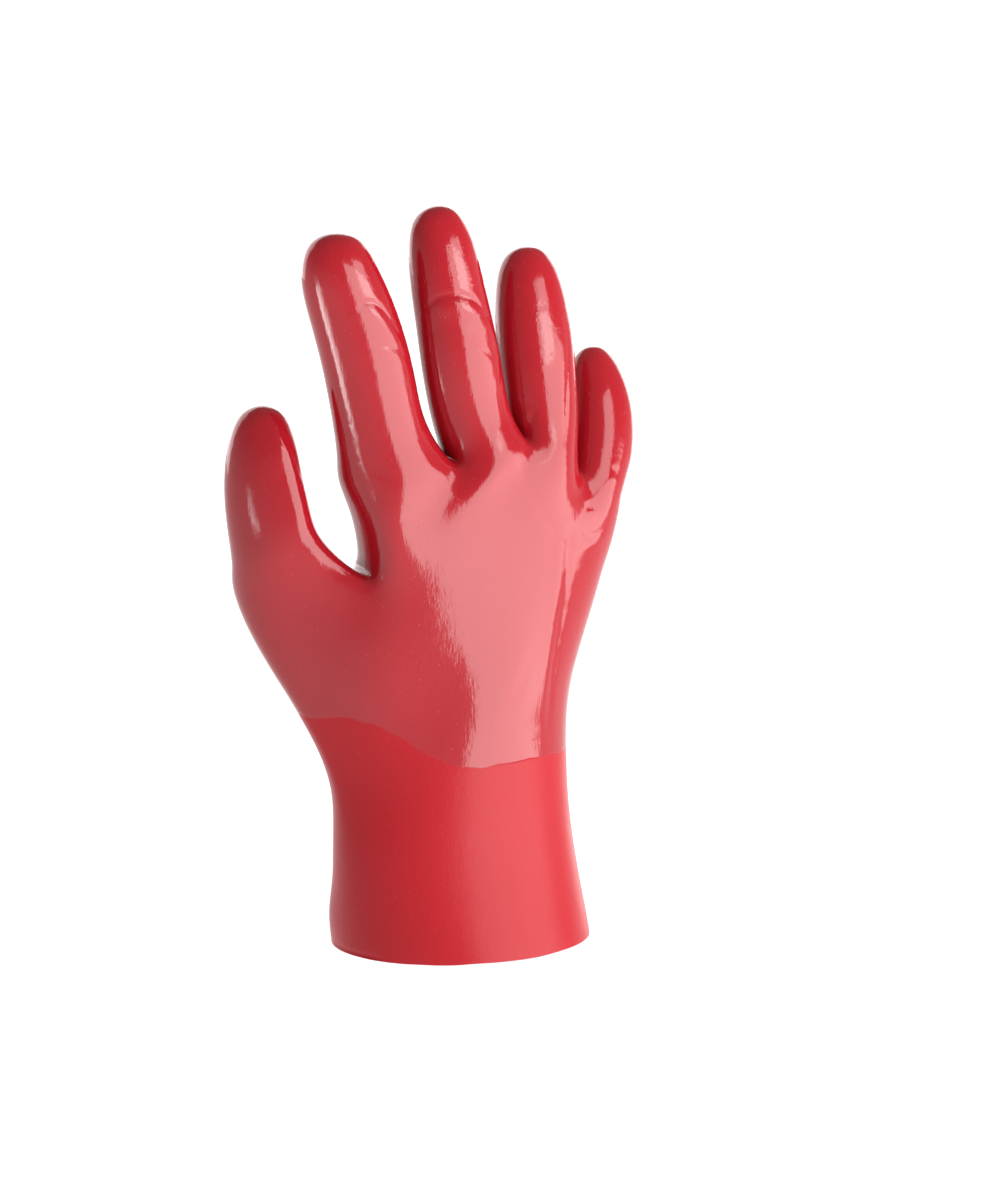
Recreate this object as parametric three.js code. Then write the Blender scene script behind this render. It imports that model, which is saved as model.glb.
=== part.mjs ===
// PVC coated work glove for the right hand, standing on its open cuff.
// Millimetres, +Z up the fingers, back of the hand to -Y, thumb to -X.
// The glove is one skin: a coarse cage of quads, worked out from the sizes and tables below, is smoothed by
// one round of Catmull-Clark subdivision, given its wall, and parted at seven seams into eight hollow pieces.

import * as THREE from "three";

// Driving sizes
const CUFF_LENGTH = 60; // rim to wrist
const CUFF_WIDTH = 96; // at the rim
const CUFF_DEPTH = 81;
const WRIST_WIDTH = 89;
const WRIST_DEPTH = 60;
const PALM_LENGTH = 112; // wrist to the root of the middle finger
const PALM_DEPTH = 41;
const THUMB_CROTCH = 73; // wrist to the web between thumb and palm
const THUMB_LENGTH = 68; // from that web to the tip
const THUMB_BREADTH = 32;
const THUMB_DEPTH = 23.5;
const THUMB_TURN = -50; // degrees by which the thumb's broad side is turned from the palm's plane
const INDEX_LENGTH = 88;
const INDEX_BREADTH = 32;
const MIDDLE_LENGTH = 91;
const MIDDLE_BREADTH = 28;
const RING_LENGTH = 78;
const RING_BREADTH = 28;
const LITTLE_LENGTH = 50;
const LITTLE_BREADTH = 24;
const FINGER_FLATNESS = 0.86; // depth of a finger over its breadth
const WALL = 1.5; // coat and liner together
const SEAM = 0.3; // gap between two pieces

const GLOVE_RED = 0xc4242f;

// The cuff's sections, from the rim to just under the wrist.
// up: share of CUFF_LENGTH; flare: 1 is the rim's size, 0 the wrist's
const CUFF_SECTIONS = [
  { up: 0.0, flare: 1.0 },
  { up: 0.07, flare: 0.94 },
  { up: 0.36, flare: 0.52 },
  { up: 0.7, flare: 0.12 },
];

// The hand's sections below the thumb's web.
// up: share of THUMB_CROTCH; left, right, inner: shares of the width from the middle line, inner being the
// palm's own left side; front, back, drop: shares of the depth, drop being how far the thumb's side lies
// towards the palm; split: 0 is one oval, 1 a thumb beside a palm.
// The width and the depth go from the wrist's to the palm's as up goes from 0 to 1.
const THENAR_SECTIONS = [
  { up: 0.0, left: -0.545, right: 0.45, inner: -0.442, front: 0.5, back: 0.5, drop: 0.0, split: 0.0 },
  { up: 0.24, left: -0.582, right: 0.422, inner: -0.428, front: 0.51, back: 0.54, drop: 0.09, split: 0.04 },
  { up: 0.5, left: -0.651, right: 0.424, inner: -0.413, front: 0.52, back: 0.59, drop: 0.2, split: 0.16 },
  { up: 0.77, left: -0.72, right: 0.473, inner: -0.378, front: 0.54, back: 0.62, drop: 0.33, split: 0.5 },
  { up: 1.0, left: -0.741, right: 0.495, inner: -0.35, front: 0.56, back: 0.61, drop: 0.395, split: 1.0 },
];
const PALM_DROP = 0.25; // the palm's own share of the drop
// Beside the thumb, 1 is a round back of the hand, less is a flatter one, and more one that slopes away
const PALM_FLATNESS = 0.25;
const WRIST_FLATNESS = 1.6;

// The palm's sections between the thumb's web and the finger roots.
// up: share of the way to each column's root; left, right: shares of PALM_WIDTH; front, back: shares of
// PALM_DEPTH; valley: share by which the columns under the webs are drawn in
const PALM_SECTIONS = [
  { up: 0.36, left: -0.35, right: 0.528, front: 0.54, back: 0.56, valley: 0.02 },
  { up: 0.7, left: -0.376, right: 0.55, front: 0.53, back: 0.5, valley: 0.14 },
];

// The finger roots, one row for each column of the palm from the index side to the little-finger side.
// root, within: which finger's root, and the share of its width; front, back: shares of PALM_DEPTH from the
// middle plane; rise: share of PALM_DEPTH above the top of the palm; lift: the same for the palm side
const ROOTS_LEFT = -0.42; // share of PALM_WIDTH from the middle line to the index side
const ROOT_COLUMNS = [
  { root: 0, within: 0.0, front: 0.03, back: 0.03, rise: -0.06, lift: -0.06 },
  { root: 0, within: 0.09, front: -0.28, back: 0.32, rise: -0.02, lift: 0.0 },
  { root: 0, within: 0.47, front: -0.52, back: 0.45, rise: 0.0, lift: 0.0 },
  { root: 0, within: 1.0, front: -0.34, back: 0.31, rise: 0.0, lift: 0.08 },
  { root: 1, within: 0.5, front: -0.54, back: 0.46, rise: 0.1, lift: 0.08 },
  { root: 1, within: 1.0, front: -0.34, back: 0.33, rise: 0.2, lift: 0.22 },
  { root: 2, within: 0.57, front: -0.48, back: 0.47, rise: -0.02, lift: 0.0 },
  { root: 2, within: 1.0, front: -0.22, back: 0.36, rise: -0.22, lift: -0.12 },
  { root: 3, within: 0.43, front: -0.34, back: 0.48, rise: -0.26, lift: -0.24 },
  { root: 3, within: 0.83, front: -0.16, back: 0.38, rise: -0.3, lift: -0.3 },
  { root: 3, within: 1.0, front: 0.1, back: 0.1, rise: -0.3, lift: -0.3 },
];
const WEB_ROWS = [3, 5, 7]; // between index, middle, ring and little finger

// The thumb's and the fingers' sections, from the root to the tip.
// along, side, back: shares of the length, up, to the little-finger side and towards the palm;
// broad, deep: shares of the breadth and of the depth; rootShare: what the finger's root takes of the palm,
// as a share of the finger's breadth
const THUMB = {
  name: "thumb",
  length: THUMB_LENGTH,
  breadth: THUMB_BREADTH,
  depth: THUMB_DEPTH,
  turn: THUMB_TURN,
  sections: [
    { along: 0.17, side: -0.1, back: 0.02, broad: 1.04, deep: 1.06 },
    { along: 0.36, side: -0.125, back: 0.05, broad: 1.02, deep: 1.0 },
    { along: 0.56, side: -0.14, back: 0.09, broad: 0.93, deep: 0.96 },
    { along: 0.74, side: -0.13, back: 0.12, broad: 0.82, deep: 0.88 },
    { along: 0.9, side: -0.115, back: 0.15, broad: 0.54, deep: 0.66 },
  ],
  tip: { along: 0.975, side: -0.11, back: 0.16 },
};
const FINGERS = [
  {
    name: "index_finger",
    length: INDEX_LENGTH,
    breadth: INDEX_BREADTH,
    depth: INDEX_BREADTH * FINGER_FLATNESS,
    turn: 0,
    rootShare: 1.34,
    sections: [
      { along: 0.13, side: -0.06, back: 0.0, broad: 1.03, deep: 1.06 },
      { along: 0.31, side: -0.086, back: 0.02, broad: 1.01, deep: 1.0 },
      { along: 0.5, side: -0.116, back: 0.045, broad: 1.01, deep: 0.98 },
      { along: 0.68, side: -0.163, back: 0.075, broad: 0.97, deep: 0.94 },
      { along: 0.83, side: -0.21, back: 0.1, broad: 0.89, deep: 0.86 },
      { along: 0.95, side: -0.215, back: 0.12, broad: 0.62, deep: 0.62 },
    ],
    tip: { along: 1.0, side: -0.21, back: 0.13 },
  },
  {
    name: "middle_finger",
    length: MIDDLE_LENGTH,
    breadth: MIDDLE_BREADTH,
    depth: MIDDLE_BREADTH * FINGER_FLATNESS,
    turn: 0,
    rootShare: 0.97,
    sections: [
      { along: 0.12, side: -0.055, back: 0.0, broad: 1.0, deep: 1.06 },
      { along: 0.28, side: -0.085, back: 0.015, broad: 1.05, deep: 1.02 },
      { along: 0.46, side: -0.1, back: 0.045, broad: 1.03, deep: 1.0 },
      { along: 0.64, side: -0.118, back: 0.09, broad: 0.96, deep: 0.95 },
      { along: 0.82, side: -0.128, back: 0.135, broad: 0.91, deep: 0.9 },
      { along: 0.95, side: -0.145, back: 0.165, broad: 0.62, deep: 0.62 },
    ],
    tip: { along: 1.0, side: -0.15, back: 0.175 },
  },
  {
    name: "ring_finger",
    length: RING_LENGTH,
    breadth: RING_BREADTH,
    depth: RING_BREADTH * FINGER_FLATNESS,
    turn: 0,
    rootShare: 0.71,
    sections: [
      { along: 0.19, side: 0.0, back: 0.01, broad: 0.95, deep: 1.02 },
      { along: 0.36, side: -0.005, back: 0.05, broad: 1.0, deep: 1.0 },
      { along: 0.54, side: 0.0, back: 0.105, broad: 1.04, deep: 0.98 },
      { along: 0.7, side: 0.005, back: 0.16, broad: 0.98, deep: 0.93 },
      { along: 0.85, side: 0.01, back: 0.21, broad: 0.84, deep: 0.84 },
      { along: 0.95, side: 0.01, back: 0.25, broad: 0.54, deep: 0.56 },
    ],
    tip: { along: 0.99, side: 0.01, back: 0.27 },
  },
  {
    name: "little_finger",
    length: LITTLE_LENGTH,
    breadth: LITTLE_BREADTH,
    depth: LITTLE_BREADTH * FINGER_FLATNESS,
    turn: 0,
    rootShare: 0.94,
    sections: [
      { along: 0.2, side: 0.1, back: 0.05, broad: 1.02, deep: 1.08 },
      { along: 0.37, side: 0.15, back: 0.12, broad: 1.02, deep: 1.02 },
      { along: 0.55, side: 0.18, back: 0.2, broad: 0.98, deep: 0.98 },
      { along: 0.7, side: 0.185, back: 0.29, broad: 0.9, deep: 0.9 },
      { along: 0.83, side: 0.19, back: 0.37, broad: 0.74, deep: 0.78 },
      { along: 0.91, side: 0.2, back: 0.43, broad: 0.44, deep: 0.5 },
    ],
    tip: { along: 0.93, side: 0.2, back: 0.47 },
  },
];
const ROOT_WIDTHS = FINGERS.map((finger) => finger.rootShare * finger.breadth);
const PALM_WIDTH = ROOT_WIDTHS.reduce((total, width) => total + width, 0);

// A control loop lies outside the smooth skin by this factor, so that the skin has the stated size
function hullFactor(count) {
  return 6 / (4 + 2 * Math.cos((2 * Math.PI) / count));
}

// The cage: points, and quads that each belong to a named piece
const points = [];
const quads = [];

function addPoint(x, y, z) {
  points.push(new THREE.Vector3(x, y, z));
  return points.length - 1;
}

function addBand(lower, upper, piece) {
  lower.forEach((corner, i) => {
    const next = (i + 1) % lower.length;
    quads.push({ corners: [corner, lower[next], upper[next], upper[i]], piece });
  });
}

function centreOf(loop) {
  const sum = loop.reduce((total, i) => total.add(points[i]), new THREE.Vector3());
  return sum.divideScalar(loop.length);
}

function mix(a, b, share) {
  return a + (b - a) * share;
}

// A place on an oval whose front and back have their own depths; 0 is the little-finger side, 270 the front.
// Its front is as flat as told on the thumb's side.
function onOval(degrees, left, right, front, back, drop, flatness) {
  const angle = THREE.MathUtils.degToRad(degrees);
  const across = Math.cos(angle);
  const deep = Math.sin(angle);
  const thumbward = Math.max(0, -across);
  const bulge = deep < 0 && across < 0 ? -(Math.abs(deep) ** flatness) : deep;
  return {
    x: (left + right) / 2 + (across * (right - left)) / 2,
    y: bulge * (deep < 0 ? front : back) + drop * thumbward * thumbward,
  };
}

// A place on an oval round the middle, whose broad axis is turned
function onTurnedOval(degrees, breadth, depth, turn) {
  const angle = THREE.MathUtils.degToRad(degrees - turn);
  const place = new THREE.Vector2((Math.cos(angle) * breadth) / 2, (Math.sin(angle) * depth) / 2);
  return place.rotateAround(new THREE.Vector2(), THREE.MathUtils.degToRad(turn));
}

// The columns of a whole section run from the thumb's side round the front to the little finger and back.
// The palm has those from its first to its last one and the thumb the others, and the web between them is
// one more column of both.
const COLUMNS = 24;
const FIRST_PALM_COLUMN = 3;
const LAST_PALM_COLUMN = COLUMNS - FIRST_PALM_COLUMN;
const PALM_COLUMNS = LAST_PALM_COLUMN - FIRST_PALM_COLUMN + 2;
const FINGER_COLUMNS = 8; // of a finger, and of the thumb

// The angle of a column, counted from the thumb's side
function angleAt(column, columns) {
  return 180 + (360 / columns) * column;
}

function cuffLoop(section) {
  const hull = hullFactor(COLUMNS);
  const half = (mix(WRIST_WIDTH, CUFF_WIDTH, section.flare) / 2) * hull;
  const deep = (mix(WRIST_DEPTH, CUFF_DEPTH, section.flare) / 2) * hull;
  const wrist = THENAR_SECTIONS[0];
  const middle = ((wrist.left + wrist.right) / 2) * WRIST_WIDTH * (1 - section.flare);
  const loop = [];
  for (let column = 0; column < COLUMNS; column += 1) {
    const place = onOval(angleAt(column, COLUMNS), middle - half, middle + half, deep, deep, 0, 1);
    loop.push(addPoint(place.x, place.y, section.up * CUFF_LENGTH));
  }
  return loop;
}

function thenarLoop(section) {
  const hull = hullFactor(COLUMNS);
  const width = mix(WRIST_WIDTH, PALM_WIDTH, section.up) * hull;
  const depth = mix(WRIST_DEPTH, PALM_DEPTH, section.up) * hull;
  const left = section.left * width;
  const right = section.right * width;
  const inner = section.inner * width;
  const front = section.front * depth;
  const back = section.back * depth;
  const drop = section.drop * depth;
  const thumbHull = hullFactor(FINGER_COLUMNS);
  const height = CUFF_LENGTH + section.up * THUMB_CROTCH;
  const loop = [];
  for (let column = 0; column < COLUMNS; column += 1) {
    const whole = onOval(angleAt(column, COLUMNS), left, right, front, back, drop, WRIST_FLATNESS);
    let apart;
    if (column >= FIRST_PALM_COLUMN && column <= LAST_PALM_COLUMN) {
      const angle = angleAt(column - FIRST_PALM_COLUMN + 1, PALM_COLUMNS);
      apart = onOval(angle, inner, right, front, back, drop * PALM_DROP, PALM_FLATNESS);
    } else {
      const angle = angleAt(column < FIRST_PALM_COLUMN ? column : column - COLUMNS, FINGER_COLUMNS);
      apart = onTurnedOval(angle, THUMB_BREADTH * thumbHull, THUMB_DEPTH * thumbHull, THUMB_TURN);
      apart.x += left + (THUMB_BREADTH / 2) * thumbHull;
      apart.y += drop;
    }
    const x = mix(whole.x, apart.x, section.split);
    const y = mix(whole.y, apart.y, section.split);
    loop.push(addPoint(x, y, height));
  }
  return loop;
}

function palmLoop(section) {
  const hull = hullFactor(PALM_COLUMNS);
  const loop = [];
  for (let step = 0; step < PALM_COLUMNS; step += 1) {
    const place = onOval(
      angleAt(step, PALM_COLUMNS),
      section.left * PALM_WIDTH * hull,
      section.right * PALM_WIDTH * hull,
      section.front * PALM_DEPTH * hull,
      section.back * PALM_DEPTH * hull,
      0,
      PALM_FLATNESS,
    );
    const column = step <= PALM_COLUMNS / 2 ? step : PALM_COLUMNS - step;
    const drawn = WEB_ROWS.includes(column) ? 1 - section.valley : 1;
    const share = step === column ? ROOT_COLUMNS[column].rise : ROOT_COLUMNS[column].lift;
    const height = CUFF_LENGTH + mix(THUMB_CROTCH, PALM_LENGTH + share * PALM_DEPTH, section.up);
    loop.push(addPoint(place.x, place.y * drawn, height));
  }
  return loop;
}

// The loop round all four finger roots, and the points inside it that the webs cross
function rootLoop() {
  const hull = hullFactor(PALM_COLUMNS);
  const top = CUFF_LENGTH + PALM_LENGTH;
  const front = [];
  const back = [];
  ROOT_COLUMNS.forEach((row, i) => {
    const before = ROOT_WIDTHS.slice(0, row.root).reduce((total, width) => total + width, 0);
    const x = (ROOTS_LEFT * PALM_WIDTH + before + row.within * ROOT_WIDTHS[row.root]) * hull;
    front.push(addPoint(x, row.front * PALM_DEPTH * hull, top + row.rise * PALM_DEPTH));
    const single = i === 0 || i === ROOT_COLUMNS.length - 1;
    back.push(single ? front[i] : addPoint(x, row.back * PALM_DEPTH * hull, top + row.lift * PALM_DEPTH));
  });
  const inside = WEB_ROWS.map((row) => {
    const middle = centreOf([front[row], back[row]]);
    return addPoint(middle.x, middle.y, middle.z);
  });
  return { front, back, inside };
}

// Grows a finger from the loop of eight points at its root, in the order left, front left, front, and so on
function growFinger(finger, root, rootPiece) {
  const start = centreOf(root);
  const hull = hullFactor(FINGER_COLUMNS);
  const places = finger.sections.map(
    (row) =>
      new THREE.Vector3(
        start.x + row.side * finger.length,
        start.y + row.back * finger.length,
        start.z + row.along * finger.length,
      ),
  );
  const tip = new THREE.Vector3(
    start.x + finger.tip.side * finger.length,
    start.y + finger.tip.back * finger.length,
    start.z + finger.tip.along * finger.length,
  );
  let below = root;
  finger.sections.forEach((row, i) => {
    const before = i === 0 ? start : places[i - 1];
    const after = i === places.length - 1 ? tip : places[i + 1];
    const along = after.clone().sub(before).normalize();
    const sideways = new THREE.Vector3(1, 0, 0);
    sideways.addScaledVector(along, -along.x).normalize();
    const palmwards = along.clone().cross(sideways);
    const loop = [];
    for (let column = 0; column < FINGER_COLUMNS; column += 1) {
      const breadth = row.broad * finger.breadth * hull;
      const depth = row.deep * finger.depth * hull;
      const oval = onTurnedOval(angleAt(column, FINGER_COLUMNS), breadth, depth, finger.turn);
      const place = places[i].clone().addScaledVector(sideways, oval.x).addScaledVector(palmwards, oval.y);
      loop.push(addPoint(place.x, place.y, place.z));
    }
    addBand(below, loop, i === 0 ? rootPiece : finger.name);
    below = loop;
  });
  const crown = addPoint(tip.x, tip.y, tip.z);
  for (let column = 0; column < FINGER_COLUMNS; column += 2) {
    const last = (column + 2) % FINGER_COLUMNS;
    quads.push({ corners: [below[column], below[column + 1], below[last], crown], piece: finger.name });
  }
}

// The whole cage: a tube from the rim that branches into the thumb and then into the fingers
const cuffLoops = CUFF_SECTIONS.map(cuffLoop);
const thenarLoops = THENAR_SECTIONS.map(thenarLoop);
const lowerLoops = [...cuffLoops, ...thenarLoops];
lowerLoops.slice(1).forEach((loop, i) => {
  addBand(lowerLoops[i], loop, i < cuffLoops.length ? "cuff" : "wrist");
});

const crotch = thenarLoops[thenarLoops.length - 1];
const webMiddle = centreOf([crotch[FIRST_PALM_COLUMN], crotch[LAST_PALM_COLUMN]]);
const thumbWeb = addPoint(webMiddle.x, webMiddle.y, webMiddle.z);
const thumbRoot = [...crotch.slice(0, FIRST_PALM_COLUMN + 1), thumbWeb, ...crotch.slice(LAST_PALM_COLUMN)];
growFinger(THUMB, thumbRoot, "wrist");

const roots = rootLoop();
const lastRow = ROOT_COLUMNS.length - 1;
const aroundRoots = [...roots.front, ...roots.back.slice(1, lastRow).reverse()];
const palmBottom = [thumbWeb, ...crotch.slice(FIRST_PALM_COLUMN, LAST_PALM_COLUMN + 1)];
const palmLoops = [palmBottom, ...PALM_SECTIONS.map(palmLoop), aroundRoots];
palmLoops.slice(1).forEach((loop, i) => addBand(palmLoops[i], loop, "palm"));

// Each finger has three rows of the root columns, and shares its outer two with its neighbours
FINGERS.forEach((finger, i) => {
  const first = 2 * i + 1;
  const left = i === 0 ? roots.front[0] : roots.inside[i - 1];
  const right = i === FINGERS.length - 1 ? roots.front[lastRow] : roots.inside[i];
  const frontSide = roots.front.slice(first, first + 3);
  const backSide = roots.back.slice(first, first + 3).reverse();
  growFinger(finger, [left, ...frontSide, right, ...backSide], "palm");
});

function average(list) {
  const sum = list.reduce((total, one) => total.add(one), new THREE.Vector3());
  return sum.divideScalar(list.length);
}

function edgeKey(a, b) {
  return a < b ? a + "_" + b : b + "_" + a;
}

// The neighbours of every point: its quads, and the far ends of its edges, open ones apart
function surroundings(pointCount, faces) {
  const around = Array.from({ length: pointCount }, () => ({ faces: [], across: [], open: [] }));
  const uses = new Map();
  faces.forEach((face) => {
    face.corners.forEach((corner, i) => {
      const key = edgeKey(corner, face.corners[(i + 1) % 4]);
      uses.set(key, (uses.get(key) || 0) + 1);
      around[corner].faces.push({ face, place: i });
    });
  });
  uses.forEach((count, key) => {
    const [a, b] = key.split("_").map(Number);
    const kind = count === 1 ? "open" : "across";
    around[a][kind].push(b);
    around[b][kind].push(a);
  });
  return around;
}

// One round of Catmull-Clark subdivision by its usual weights. The rim stays an open edge with its own curve.
function subdivide(oldPoints, faces) {
  const around = surroundings(oldPoints.length, faces);
  const faceMiddles = faces.map((face) => average(face.corners.map((corner) => oldPoints[corner])));
  const middleOf = new Map(faces.map((face, i) => [face, faceMiddles[i]]));
  const edgeNumbers = new Map();
  const edges = [];
  faces.forEach((face) => {
    face.corners.forEach((corner, i) => {
      const other = face.corners[(i + 1) % 4];
      const key = edgeKey(corner, other);
      if (!edgeNumbers.has(key)) {
        edgeNumbers.set(key, edges.length);
        edges.push({ ends: [oldPoints[corner], oldPoints[other]], sides: [] });
      }
      edges[edgeNumbers.get(key)].sides.push(middleOf.get(face));
    });
  });
  const edgePoints = edges.map(({ ends, sides }) => average(sides.length === 2 ? [...ends, ...sides] : ends));
  const moved = oldPoints.map((point, i) => {
    const near = around[i];
    if (near.open.length) {
      const [one, two] = near.open.map((other) => oldPoints[other]);
      return point.clone().multiplyScalar(6).add(one).add(two).divideScalar(8);
    }
    const valence = near.faces.length;
    const faceAverage = average(near.faces.map(({ face }) => middleOf.get(face)));
    const edgeAverage = average(near.across.map((other) => average([point, oldPoints[other]])));
    return faceAverage
      .addScaledVector(edgeAverage, 2)
      .addScaledVector(point, valence - 3)
      .divideScalar(valence);
  });
  const firstEdge = oldPoints.length;
  const firstFace = firstEdge + edges.length;
  const newFaces = [];
  faces.forEach((face, i) => {
    face.corners.forEach((corner, k) => {
      const after = edgeNumbers.get(edgeKey(corner, face.corners[(k + 1) % 4]));
      const before = edgeNumbers.get(edgeKey(corner, face.corners[(k + 3) % 4]));
      const corners = [corner, firstEdge + after, firstFace + i, firstEdge + before];
      newFaces.push({ corners, piece: face.piece });
    });
  });
  return { points: [...moved, ...edgePoints, ...faceMiddles], faces: newFaces };
}

// Moves every point to where endless subdivision would take it
function ontoLimit(mesh) {
  const around = surroundings(mesh.points.length, mesh.faces);
  return mesh.points.map((point, i) => {
    const near = around[i];
    if (near.open.length) {
      const [one, two] = near.open.map((other) => mesh.points[other]);
      return point.clone().multiplyScalar(4).add(one).add(two).divideScalar(6);
    }
    const valence = near.faces.length;
    const sum = point.clone().multiplyScalar(valence * valence);
    near.across.forEach((other) => sum.addScaledVector(mesh.points[other], 4));
    near.faces.forEach(({ face, place }) => sum.add(mesh.points[face.corners[(place + 2) % 4]]));
    return sum.divideScalar(valence * (valence + 5));
  });
}

// The inner surface: every point moved in by the wall, level along the rim so that the rim stays flat
function insideOf(outer, faces) {
  const normals = outer.map(() => new THREE.Vector3());
  faces.forEach((face) => {
    const [a, b, c, d] = face.corners.map((corner) => outer[corner]);
    const normal = c.clone().sub(a).cross(d.clone().sub(b));
    face.corners.forEach((corner) => normals[corner].add(normal));
  });
  const around = surroundings(outer.length, faces);
  return outer.map((point, i) => {
    const normal = normals[i].clone();
    if (around[i].open.length) normal.z = 0;
    return point.clone().addScaledVector(normal.normalize(), -WALL);
  });
}

// One piece of the glove: its outer and inner skin, joined by a wall face along each of its open edges
function makePiece(name, outer, inner, faces) {
  const own = faces.filter((face) => face.piece === name);
  const around = surroundings(outer.length, own);
  const wholeAround = surroundings(outer.length, faces);
  const shrink = (surface) =>
    surface.map((point, i) => {
      const onSeam = around[i].open.length > 0 && wholeAround[i].open.length === 0;
      if (!onSeam) return point;
      const inwards = average(around[i].across.map((other) => surface[other])).sub(point).normalize();
      return point.clone().addScaledVector(inwards, SEAM / 2);
    });
  const outerSkin = shrink(outer);
  const innerSkin = shrink(inner);
  const positions = [];
  const numbers = new Map();
  const numberOf = (side, corner) => {
    const key = side + corner;
    if (!numbers.has(key)) {
      numbers.set(key, numbers.size);
      const point = side === "outer" ? outerSkin[corner] : innerSkin[corner];
      positions.push(point.x, point.y, point.z);
    }
    return numbers.get(key);
  };
  const triangles = [];
  const addQuad = (a, b, c, d) => triangles.push(a, b, c, a, c, d);
  const uses = new Map();
  own.forEach((face) => {
    const [a, b, c, d] = face.corners;
    addQuad(numberOf("outer", a), numberOf("outer", b), numberOf("outer", c), numberOf("outer", d));
    addQuad(numberOf("inner", d), numberOf("inner", c), numberOf("inner", b), numberOf("inner", a));
    face.corners.forEach((corner, i) => {
      const key = edgeKey(corner, face.corners[(i + 1) % 4]);
      uses.set(key, (uses.get(key) || 0) + 1);
    });
  });
  own.forEach((face) => {
    face.corners.forEach((corner, i) => {
      const next = face.corners[(i + 1) % 4];
      if (uses.get(edgeKey(corner, next)) !== 1) return;
      const start = [numberOf("outer", corner), numberOf("inner", corner)];
      const end = [numberOf("inner", next), numberOf("outer", next)];
      // Both pieces at a seam split its wall along the same diagonal, so that their gap stays even
      if (corner < next) addQuad(...start, ...end);
      else addQuad(end[1], ...start, end[0]);
    });
  });
  const geometry = new THREE.BufferGeometry();
  geometry.setAttribute("position", new THREE.Float32BufferAttribute(positions, 3));
  geometry.setIndex(triangles);
  geometry.computeVertexNormals();
  const material = new THREE.MeshStandardMaterial({ color: GLOVE_RED, roughness: 0.2, metalness: 0 });
  const mesh = new THREE.Mesh(geometry, material);
  mesh.name = name;
  return mesh;
}

const skin = subdivide(points, quads);
const outerPoints = ontoLimit(skin);
const innerPoints = insideOf(outerPoints, skin.faces);
const glove = new THREE.Group();
const pieceNames = ["cuff", "wrist", "palm", THUMB.name, ...FINGERS.map((finger) => finger.name)];
pieceNames.forEach((name) => glove.add(makePiece(name, outerPoints, innerPoints, skin.faces)));

// The origin is under the middle of the glove's box, on the plane that the rim stands on
const box = new THREE.Box3().setFromObject(glove);
const boxMiddle = box.getCenter(new THREE.Vector3());
glove.position.set(-boxMiddle.x, -boxMiddle.y, -box.min.z);

export default glove;
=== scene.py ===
# The looks of a red PVC coated work glove that stands on its open cuff.
# Metres, +Z up the fingers, back of the hand to -Y, thumb to -X.
# The coat is the same smooth skin as the solids, finer, with the folds of the dipped vinyl pressed into it.
# A knitted cotton liner lines it and shows at the rim and inside the cuff.

import math
from collections import namedtuple

import bpy
import numpy as np
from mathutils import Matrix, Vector, noise
from mathutils.bvhtree import BVHTree
from mathutils.kdtree import KDTree


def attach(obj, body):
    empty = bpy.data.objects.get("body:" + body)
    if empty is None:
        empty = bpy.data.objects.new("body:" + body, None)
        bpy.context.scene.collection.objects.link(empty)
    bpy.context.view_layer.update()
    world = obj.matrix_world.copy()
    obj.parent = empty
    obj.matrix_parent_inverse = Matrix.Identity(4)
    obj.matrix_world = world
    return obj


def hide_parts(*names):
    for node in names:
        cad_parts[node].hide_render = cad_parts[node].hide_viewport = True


MM = 0.001

# Driving sizes, in metres
CUFF_LENGTH = 60 * MM
CUFF_WIDTH = 96 * MM
CUFF_DEPTH = 81 * MM
WRIST_WIDTH = 89 * MM
WRIST_DEPTH = 60 * MM
PALM_LENGTH = 112 * MM
PALM_DEPTH = 41 * MM
THUMB_CROTCH = 73 * MM
THUMB_LENGTH = 68 * MM
THUMB_BREADTH = 32 * MM
THUMB_DEPTH = 23.5 * MM
THUMB_TURN = -50 # degrees
INDEX_LENGTH = 88 * MM
INDEX_BREADTH = 32 * MM
MIDDLE_LENGTH = 91 * MM
MIDDLE_BREADTH = 28 * MM
RING_LENGTH = 78 * MM
RING_BREADTH = 28 * MM
LITTLE_LENGTH = 50 * MM
LITTLE_BREADTH = 24 * MM
FINGER_FLATNESS = 0.86 # depth over breadth
WALL = 1.5 * MM
COAT = 0.9 * MM
LAYER_GAP = 0.05 * MM

# What each finger's root takes of the palm, as a share of the finger's breadth, from index to little finger
ROOT_WIDTHS = (1.34 * INDEX_BREADTH, 0.97 * MIDDLE_BREADTH, 0.71 * RING_BREADTH, 0.94 * LITTLE_BREADTH)
PALM_WIDTH = sum(ROOT_WIDTHS)

# The photograph's frame and the camera that took it
PHOTO_WIDTH = 1000
PHOTO_HEIGHT = 1200
SENSOR = 36.0 # millimetres
CAMERA_AZIMUTH = math.radians(-25)
CAMERA_ELEVATION = math.radians(10.5)
CAMERA_DISTANCE = 1.65
PIXELS_PER_METRE = 2780 # at the camera's target
CAMERA_TARGET = Vector((16.9 * MM, -5.9 * MM, 124.5 * MM))

# Sections of the cuff. up: share of its length; flare: from the wrist's oval at 0 to the rim's at 1
CuffSection = namedtuple("CuffSection", "up flare")
CUFF_SECTIONS = (
    CuffSection(0.0, 1.0),
    CuffSection(0.07, 0.94),
    CuffSection(0.36, 0.52),
    CuffSection(0.7, 0.12),
)

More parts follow.
